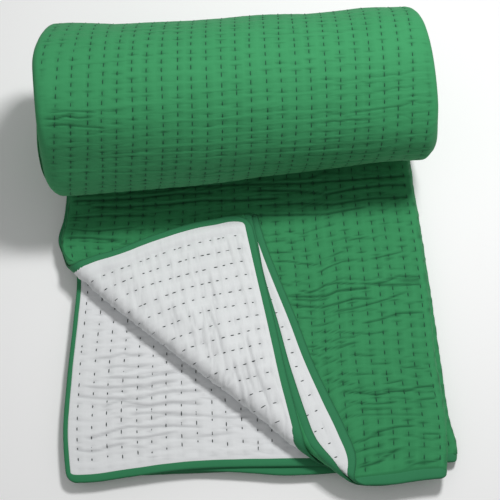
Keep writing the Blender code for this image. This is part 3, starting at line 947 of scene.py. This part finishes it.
# The binding: one rounded strip round each packet's bound edges.
binding = {
    "hemHalf": 4.6,  # half its width at the hem and at each side
    "sideHalf": {"bound3": 4.0, "bound4": 2.7},
    "otherHalf": 4.0,
    "beyond": 0.3,  # how far it stands out past the cloth's edge
    "thick": 1.4,
    "turnThick": 0.85,
    "squareness": 0.75,  # 1 for a round section, less for a squarer one
    "section": 16,
    "step": 3.0,
    "cornerSteps": 8,
    "ripple": (0.3, 16.0),  # (height, length)
    "swell": (0.05, 12.0),
    # painted shade along the binding's outer edge
    "rimShade": 0.95,
}


def bindingPath(packet):
    # (kind, layer, value) along the bound edges, from the roll round the hem and back to the roll
    r, step = stack["cornerRound"], binding["step"]
    first, last = packet["layers"][0], packet["layers"][-1]
    down = np.linspace(stack["tail"], r, int(stack["tail"] / step))
    corner = np.linspace(0, math.pi / 2, binding["cornerSteps"] + 1)[1:-1]
    path = [("side", first, v) for v in down] + [("corner", first, v) for v in corner]
    for number, layer in enumerate(packet["layers"]):
        low = r if layer in (first, last) else 0.0
        places = np.linspace(low, stack["width"], int(stack["width"] / step))
        path += [("hem", layer, v) for v in (places if number % 2 == 0 else places[::-1])]
        if layer != last:
            path += [("turn", layer, angle) for angle in turnAngles]
    return path + [("corner", last, v) for v in corner[::-1]] + [("side", last, v) for v in down[::-1]]


def buildBinding(name, node, packet, seed):
    around = np.linspace(0, fullTurn, binding["section"] + 1)
    directions = np.cos(around), np.sin(around)
    wide, high = (np.sign(d) * np.abs(d) ** binding["squareness"] for d in directions)
    r = stack["cornerRound"]
    (ripple, rippleLength), (swell, swellLength) = binding["ripple"], binding["swell"]
    rings, cloth = [], []
    for count, (kind, layer, value) in enumerate(bindingPath(packet)):
        run = count * binding["step"]
        rippled = ripple * softNoise(run / rippleLength, 0.5, seed)
        broad = {"side": 0.0, "corner": math.sin(value)}.get(kind, 1.0)
        half = binding["sideHalf"].get(packet["left"][layer], binding["otherHalf"])
        half = half + (binding["hemHalf"] - half) * broad
        inset = half * (1 - wide) - binding["beyond"] + rippled * (1 - wide) / 2
        off = binding["thick"] * (1 + swell * softNoise(run / swellLength, 2.5, seed)) * high
        if kind == "turn":
            following = packet["layers"][packet["layers"].index(layer) + 1]
            tight = abs(following - layer) == 1
            off = off * (binding["turnThick"] if tight else 1.0)
            ring = laid(packet, following, turnPoint(packet, layer, value, inset, off))
        else:
            place, station = {
                "side": (inset, value),
                "hem": (value, inset),
                "corner": (r - (r - inset) * math.cos(value), r - (r - inset) * math.sin(value)),
            }[kind]
            ring = laid(packet, layer, flatPoint(packet, layer, place, station, off))
        rings.append(ring)
        cloth.append(np.stack([np.full(len(inset), run), around * 3.0], axis=-1))
    points = np.stack(rings, axis=1)
    points[..., 2] = np.maximum(points[..., 2], 0.02)  # clear of the floor
    # painted shade along the outer edge of the binding, where it meets the cloth below
    rim = np.repeat(binding["rimShade"] * np.clip(wide * 3 - 2, 0, 1)[:, None], len(rings), axis=1)
    mesh = joined(name, [gridMesh(name, points, np.stack(cloth, axis=1), rim)], 0.00001, closed=True)
    addPiece(name, mesh, bindingCotton, (node,))


buildBinding("tailTopBinding", "tail_top_binding", topPacket, 61)
buildBinding("tailBaseBinding", "tail_base_binding", basePacket, 67)
print("bindings made")

# The roll: its mantle, the face on the tail's end, and both ends with their wound layers.
mantle = {
    "level": -0.5,
    "waves": ((1.0, 80, 70, 15), (0.5, 35, 28, 16)),
    # its back isn't straight: (distance, how far it stands out), and the turn and reach in turn of that
    "back": ((0, 2), (32, 2.9), (48, 2.2), (63, 1.1), (80, -0.8), (110, -1.2), (140, -2.4), (158, -3.2),
             (190, -2.9), (222, -1.4), (237, -1), (252, -1.5), (275, -2.9), (300, -2.6), (315, -2.1),
             (332, -0.6), (348, -0.5), (370, -1.4)),
    "backTurn": (1.95, 0.6),
    # how far its front hangs down at the right end, the distance and the turn with their reaches
    "sag": 3.5,
    "sagDistance": (380.0, 24.0),
    "sagTurn": (4.8, 0.5),
    # where the quilting starts, and over what length: from both ends, and in turn from the foot and
    # from the joint with the tail
    "fadeEnd": (3.0, 8.0),
    "fadeFoot": (0.1, 0.12),
    "fadeJoint": (0.02, 0.08),
    # its mesh: distances near an end, the middle part with lines beside each row, and in turn (from,
    # to, lines); the mesh follows the cloth's drift up to a limit away from the ends
    "even": (9.4, 58.0, 2.4),
    "rowsFrom": 60.0,
    "turns": ((0.0, 0.125, 4), (0.125, math.pi / 2, 80), (math.pi / 2, fullTurn, 377)),
    "driftLimit": 16.0,
    "driftFade": (9.0, 40.0),
}
rollEnd = {
    # where the grooves between the layers lie, as shares of the pitch
    "breaks": {"left": (0.0, 0.25, 0.375, 0.5, 0.625, 0.75, 1.0), "right": (0.0, 0.5, 1.0)},
    "cells": {"left": 6, "right": 12},  # cells across each ridge
    "turns": 4,
    "steps": 180,
    "outerStep": 5,  # every fifth of the mantle's lines in turn
    "groove": 0.495,  # depth of a groove as a share of a ridge's width
    "crown": 1.0,  # how far in a ridge's top lies, and how uneven that is
    "uneven": 1.6,
    "sink": 0.6,  # how much further in each inner turn lies
    # the left end's inner layers stand out beyond the outermost one at the front: distance, the turn
    # and its reach, and the share of the pitch where that starts and its length
    "standOut": 6.0,
    "standTurn": (4.35, 0.75),
    "standShare": (0.1, 0.12),
}


def fromEnds(distance, start, length):
    # 0 near both ends of the roll and 1 between
    return ease((distance - start) / length) * ease((roll["length"] - start - distance) / length)


def rowDrift(distance, turn):
    start, drift, atLeft = roll["drift"]
    return (turn - start) * (drift + atLeft * ease(1 - distance / roll["driftReach"]))


def rowDistance(place, turn):
    # how far along the roll a place across the rolled cloth lies
    return place - rowDrift(place - rowDrift(place, turn), turn)


def mantleRelief(distance, turn):
    along = turn * roll["girth"]
    height, hollowAndPaintedShade = quilted(rollRows, distance + rowDrift(distance, turn), along)
    height = height + mantle["level"] + waves(distance, along, mantle["waves"])
    height = height + np.interp(distance, *zip(*mantle["back"])) * hump(turn, *mantle["backTurn"])
    sag = hump(distance, *mantle["sagDistance"]) * hump(turn, *mantle["sagTurn"])
    height = height + mantle["sag"] * sag
    (foot, footLength), (joint, jointLength) = mantle["fadeFoot"], mantle["fadeJoint"]
    fade = ease((turn - foot) / footLength) * ease((fullTurn - joint - turn) / jointLength)
    fade = fade * fromEnds(distance, *mantle["fadeEnd"])
    return height * fade, hollowAndPaintedShade * fade


def shoulderDepth(distance):
    near = np.minimum(distance, roll["length"] - distance)
    reaches, depths = zip(*roll["shoulder"])
    further = (roll["shoulderReach"] - near) / (roll["shoulderReach"] - reaches[-1])
    return np.where(near < reaches[-1], np.interp(near, reaches, depths), depths[-1] * ease(further))


def mantlePoint(distance, turn, off):
    return rollPoint(distance, turn, shoulderDepth(distance) - off)


def endMesh(name, turns):
    # one end of the roll: a spiral of ridges, one for each group of layers
    breaks, cells = np.array(rollEnd["breaks"][name]), rollEnd["cells"][name]
    shares = np.unique(np.concatenate([
        a + (b - a) * (0.5 - 0.5 * np.cos(np.linspace(0, math.pi, cells + 1)))
        for a, b in zip(breaks, breaks[1:])
    ]))
    share, turn = np.meshgrid(shares, np.concatenate([
        turns[turns < fullTurn - 0.001][:: rollEnd["outerStep"]],
        np.linspace(fullTurn, fullTurn * rollEnd["turns"], rollEnd["steps"]),
    ]))
    past = turn + share * fullTurn - fullTurn
    outermost = np.clip(1 - 2 * past / math.pi, 0, 1)
    ridge = np.clip(np.searchsorted(breaks, share, side="right") - 1, 0, len(breaks) - 2)
    low, high = breaks[ridge], breaks[ridge + 1]
    crown = np.sqrt(np.clip(1 - (2 * (share - low) / (high - low) - 1) ** 2, 0, 1))
    whole = turn / fullTurn + share
    uneven = rollEnd["uneven"] * softNoise(whole * 2.0, ridge * 1.7, 19 if name == "left" else 20)
    inset = rollEnd["groove"] * (high - low) * roll["pitch"] * (1 - crown)
    inset = inset + (rollEnd["crown"] + uneven) * crown + rollEnd["sink"] * whole
    if name == "left":
        start, length = rollEnd["standShare"]
        stand = ease((share - start) / length) * hump(turn, *rollEnd["standTurn"])
        inset = inset - rollEnd["standOut"] * stand
    # the rim, where share is 0, meets the mantle
    rim = share < 0.001
    inset = np.maximum(inset, -rollEnd["standOut"]) * (1 - outermost * rim) * ease(past * 1.2 + 1.0)
    inset = np.where(rim, inset * ease(past / 0.6), inset)
    core = roll["coreLeft"] if name == "left" else roll["coreRight"]
    radius = core + roll["pitch"] * (1 - turn / fullTurn)
    depth = share * np.minimum(roll["pitch"], np.maximum(radius, 0.5))
    depth = depth + roll["shoulder"][0][1] * outermost
    points = rollPoint(inset if name == "left" else roll["length"] - inset, turn, depth)
    cloth = np.stack([share * roll["pitch"], turn * 40.0], axis=-1)
    # painted shade in the grooves between the wound layers
    return gridMesh("end", points, cloth, np.clip(1 - crown, 0, 1) ** 2)


def buildRoll():
    left = [*(d for d, _ in roll["shoulder"]), *np.arange(*mantle["even"])]
    inside = rowColumns(rollRows, mantle["rowsFrom"], roll["length"] - mantle["rowsFrom"])
    spots = np.array([*left, *inside, *(roll["length"] - d for d in left[::-1])])
    turns = np.unique(np.concatenate([np.linspace(*part) for part in mantle["turns"]]))
    distance, turn = np.meshgrid(spots, turns)
    drift = np.clip(rowDrift(distance, turn), -mantle["driftLimit"], mantle["driftLimit"])
    distance = distance - drift * fromEnds(distance, *mantle["driftFade"])
    height, hollowAndPaintedShade = mantleRelief(distance, turn)
    cloth = np.stack([distance, turn * roll["girth"]], axis=-1)
    parts = [gridMesh("woundRoll", mantlePoint(distance, turn, height), cloth, hollowAndPaintedShade)]
    share, spot = np.meshgrid(np.linspace(0, 1, 5), spots)
    depth = shoulderDepth(spot) + share * roll["pitch"]
    joint = rollPoint(spot, 0.0, depth)
    parts.append(gridMesh("joint", joint, np.stack([spot, depth], axis=-1), 0 * depth))
    parts += [endMesh("left", turns), endMesh("right", turns)]
    mesh = joined("woundRoll", parts, 0.00002)
    return addPiece("woundRoll", mesh, greenCotton, ("rolled_quilt",))


woundRoll = buildRoll()
print("roll made")

# The stitches: each is a short piece of thread that lies in its dimple.
thread = {
    "half": 0.65, "height": 0.5, "lift": 0.1,
    "share": 0.92, "whiteShare": 0.72, "rollShare": 1.0,  # share of a stitch's length that shows
    "backLift": 0.5,  # the mantle's mesh is coarser at the back
}


def buildStitches(name, seams, material):
    # seams holds the two ends of each stitch and a point above its middle
    bm = bmesh.new()
    bmesh.ops.create_uvsphere(bm, u_segments=6, v_segments=4, radius=1.0)
    template = bpy.data.meshes.new("stitch")
    bm.to_mesh(template)
    bm.free()
    shape = np.array([tuple(v.co) for v in template.vertices])
    start, end, above = (np.concatenate(group) for group in zip(*seams))
    middle, along = (start + end) / 2, end - start
    length = np.linalg.norm(along, axis=1, keepdims=True)
    along = along / length
    up = above - middle
    up = up - along * np.sum(up * along, axis=1, keepdims=True)
    up = up / np.linalg.norm(up, axis=1, keepdims=True)
    beside = np.cross(along, up)
    co = middle[:, None] + shape[None, :, 2:3] * along[:, None] * (length[:, None] / 2)
    co = co + shape[None, :, 0:1] * beside[:, None] * thread["half"]
    co = co + shape[None, :, 1:2] * up[:, None] * thread["height"]
    co = (co + np.array([*stack["corner"], 0.0])) * mm
    bm = bmesh.new()
    for _ in start:
        bm.from_mesh(template)
    for vertex, spot in zip(bm.verts, co.reshape(-1, 3)):
        vertex.co = spot
    bm.normal_update()
    addPiece(name, outwardMesh(name, bm), material)


def seamOf(sewn, relief, surface, low, high, keep, share):
    # the stitches of all rows on one side: surface(place, along, off) gives their places
    rows = np.repeat(np.arange(sewn["rows"]), sewn["count"])
    centre, half = sewn["centre"].ravel(), sewn["half"].ravel() * share
    place = rowPlace(sewn, rows, centre)
    kept = (centre - half > low) & (centre + half < high) & keep(place, centre)
    place, centre, half = place[kept], centre[kept], half[kept]
    ends = [surface(place, spot, relief(place, spot)[0]) for spot in (centre - half, centre + half)]
    return *ends, surface(place, centre, relief(place, centre)[0] + 3.0)


def onLayer(packet, layer, side):
    # the surface that threads lie on: a layer's green side (1) or its white side (-1)
    def surface(place, along, off):
        return clothPoint(packet, layer, place, along, side * (stack["half"] + off + thread["lift"]))

    return surface


def onRoll(place, along, off):
    turn = along / roll["girth"]
    lift = thread["lift"] + thread["backLift"] * ease((2.4 - turn) / 0.4)
    return mantlePoint(rowDistance(place, turn), turn, off + lift)


def onMantle(place, along):
    turn = along / roll["girth"]
    return mantleRelief(rowDistance(place, turn), turn)


def insideRoll(place, along):
    distance = rowDistance(place, along / roll["girth"])
    return (distance > 10) & (distance < roll["length"] - 10)


def pastBy(layer, least):
    # a test for the stitches of a layer that lie past the crease by a distance
    return lambda place, along: pastCrease(topPacket, layer, place, along) > least


def besideFlap(place, along):
    return (pastCrease(topPacket, 1, place, along) < -2) & (place < 379)


def besideTop(place, along):
    return (place > 350) & (place < 379)


buildStitches("tailStitches", [
    seamOf(topRows, topRelief, onLayer(topPacket, 1, 1), 12, 350, besideFlap, thread["share"]),
    seamOf(besideRows, besideRelief, onLayer(basePacket, 5, 1), 12, 200, besideTop, thread["share"]),
], greenThread)
buildStitches("rollStitches", [
    seamOf(rollRows, onMantle, onRoll, 0.14 * roll["girth"], 6.13 * roll["girth"], insideRoll,
           thread["rollShare"]),
], greenThread)
white = thread["whiteShare"]
buildStitches("whiteStitches", [
    seamOf(flapRows, flapRelief, onLayer(topPacket, 3, -1), 14, 250, pastBy(3, 2), white),
    seamOf(underRows, underRelief, onLayer(topPacket, 1, -1), 12, 70, pastBy(1, 12), white),
    seamOf(lowerRows, lowerRelief, onLayer(topPacket, 4, -1), 14, 250, pastBy(4, -6), white),
], greyThread)
print("stitches made")

# Floor, light and camera.
studio = {
    "eye": (179.51, -157.42, 1099.37),  # in the tail's own millimetres
    "yaw": 2.59, "elevation": 70.0, "lens": 77.54,
    "floor": (0.97, 0.97, 0.97), "world": 0.3,
    "key": 8.0, "keyFrom": (0.31, 0.33, 1.0), "keySize": 0.19,
    "fill": 1.4, "fillFrom": (-0.5, -0.5, 1.3), "fillSize": 1.6,
}


def lookAt(thing, place, target):
    thing.location = place
    thing.rotation_euler = (Vector(target) - Vector(place)).to_track_quat("-Z", "Y").to_euler()


def addLight(name, power, place, size):
    lamp = bpy.data.lights.new(name, "AREA")
    lamp.energy, lamp.size = power, size
    thing = bpy.data.objects.new(name, lamp)
    bpy.context.scene.collection.objects.link(thing)
    lookAt(thing, place, (0, 0, 0.03))


floorMesh = bpy.data.meshes.new("floor")
bm = bmesh.new()
bmesh.ops.create_grid(bm, x_segments=1, y_segments=1, size=4.0)
bmesh.ops.translate(bm, vec=(0, 0, -0.0003), verts=bm.verts)
bm.to_mesh(floorMesh)
bm.free()
floor = bpy.data.objects.new("floor", floorMesh)
bpy.context.scene.collection.objects.link(floor)
paper = bpy.data.materials.new("paperFloor")
shader = nodeSetter(paper)[1]
shader.inputs["Base Color"].default_value = (*studio["floor"], 1.0)
shader.inputs["Roughness"].default_value = 0.9
floorMesh.materials.append(paper)
addLight("key", studio["key"], studio["keyFrom"], studio["keySize"])
addLight("fill", studio["fill"], studio["fillFrom"], studio["fillSize"])
scene = bpy.context.scene
scene.world = scene.world or bpy.data.worlds.new("studio")
scene.world.use_nodes = True
scene.world.node_tree.nodes["Background"].inputs["Color"].default_value = (1, 1, 1, 1)
scene.world.node_tree.nodes["Background"].inputs["Strength"].default_value = studio["world"]
camera = bpy.data.objects.new("camera", bpy.data.cameras.new("camera"))
scene.collection.objects.link(camera)
camera.data.lens = studio["lens"]
camera.data.sensor_width = 36.0
eye = (Vector(studio["eye"]) + Vector((*stack["corner"], 0))) * mm
yaw, up = math.radians(studio["yaw"]), math.radians(studio["elevation"])
ahead = Vector((math.sin(yaw) * math.cos(up), math.cos(yaw) * math.cos(up), -math.sin(up)))
lookAt(camera, eye, eye + ahead)
scene.camera = camera
scene.view_settings.view_transform = "Standard"
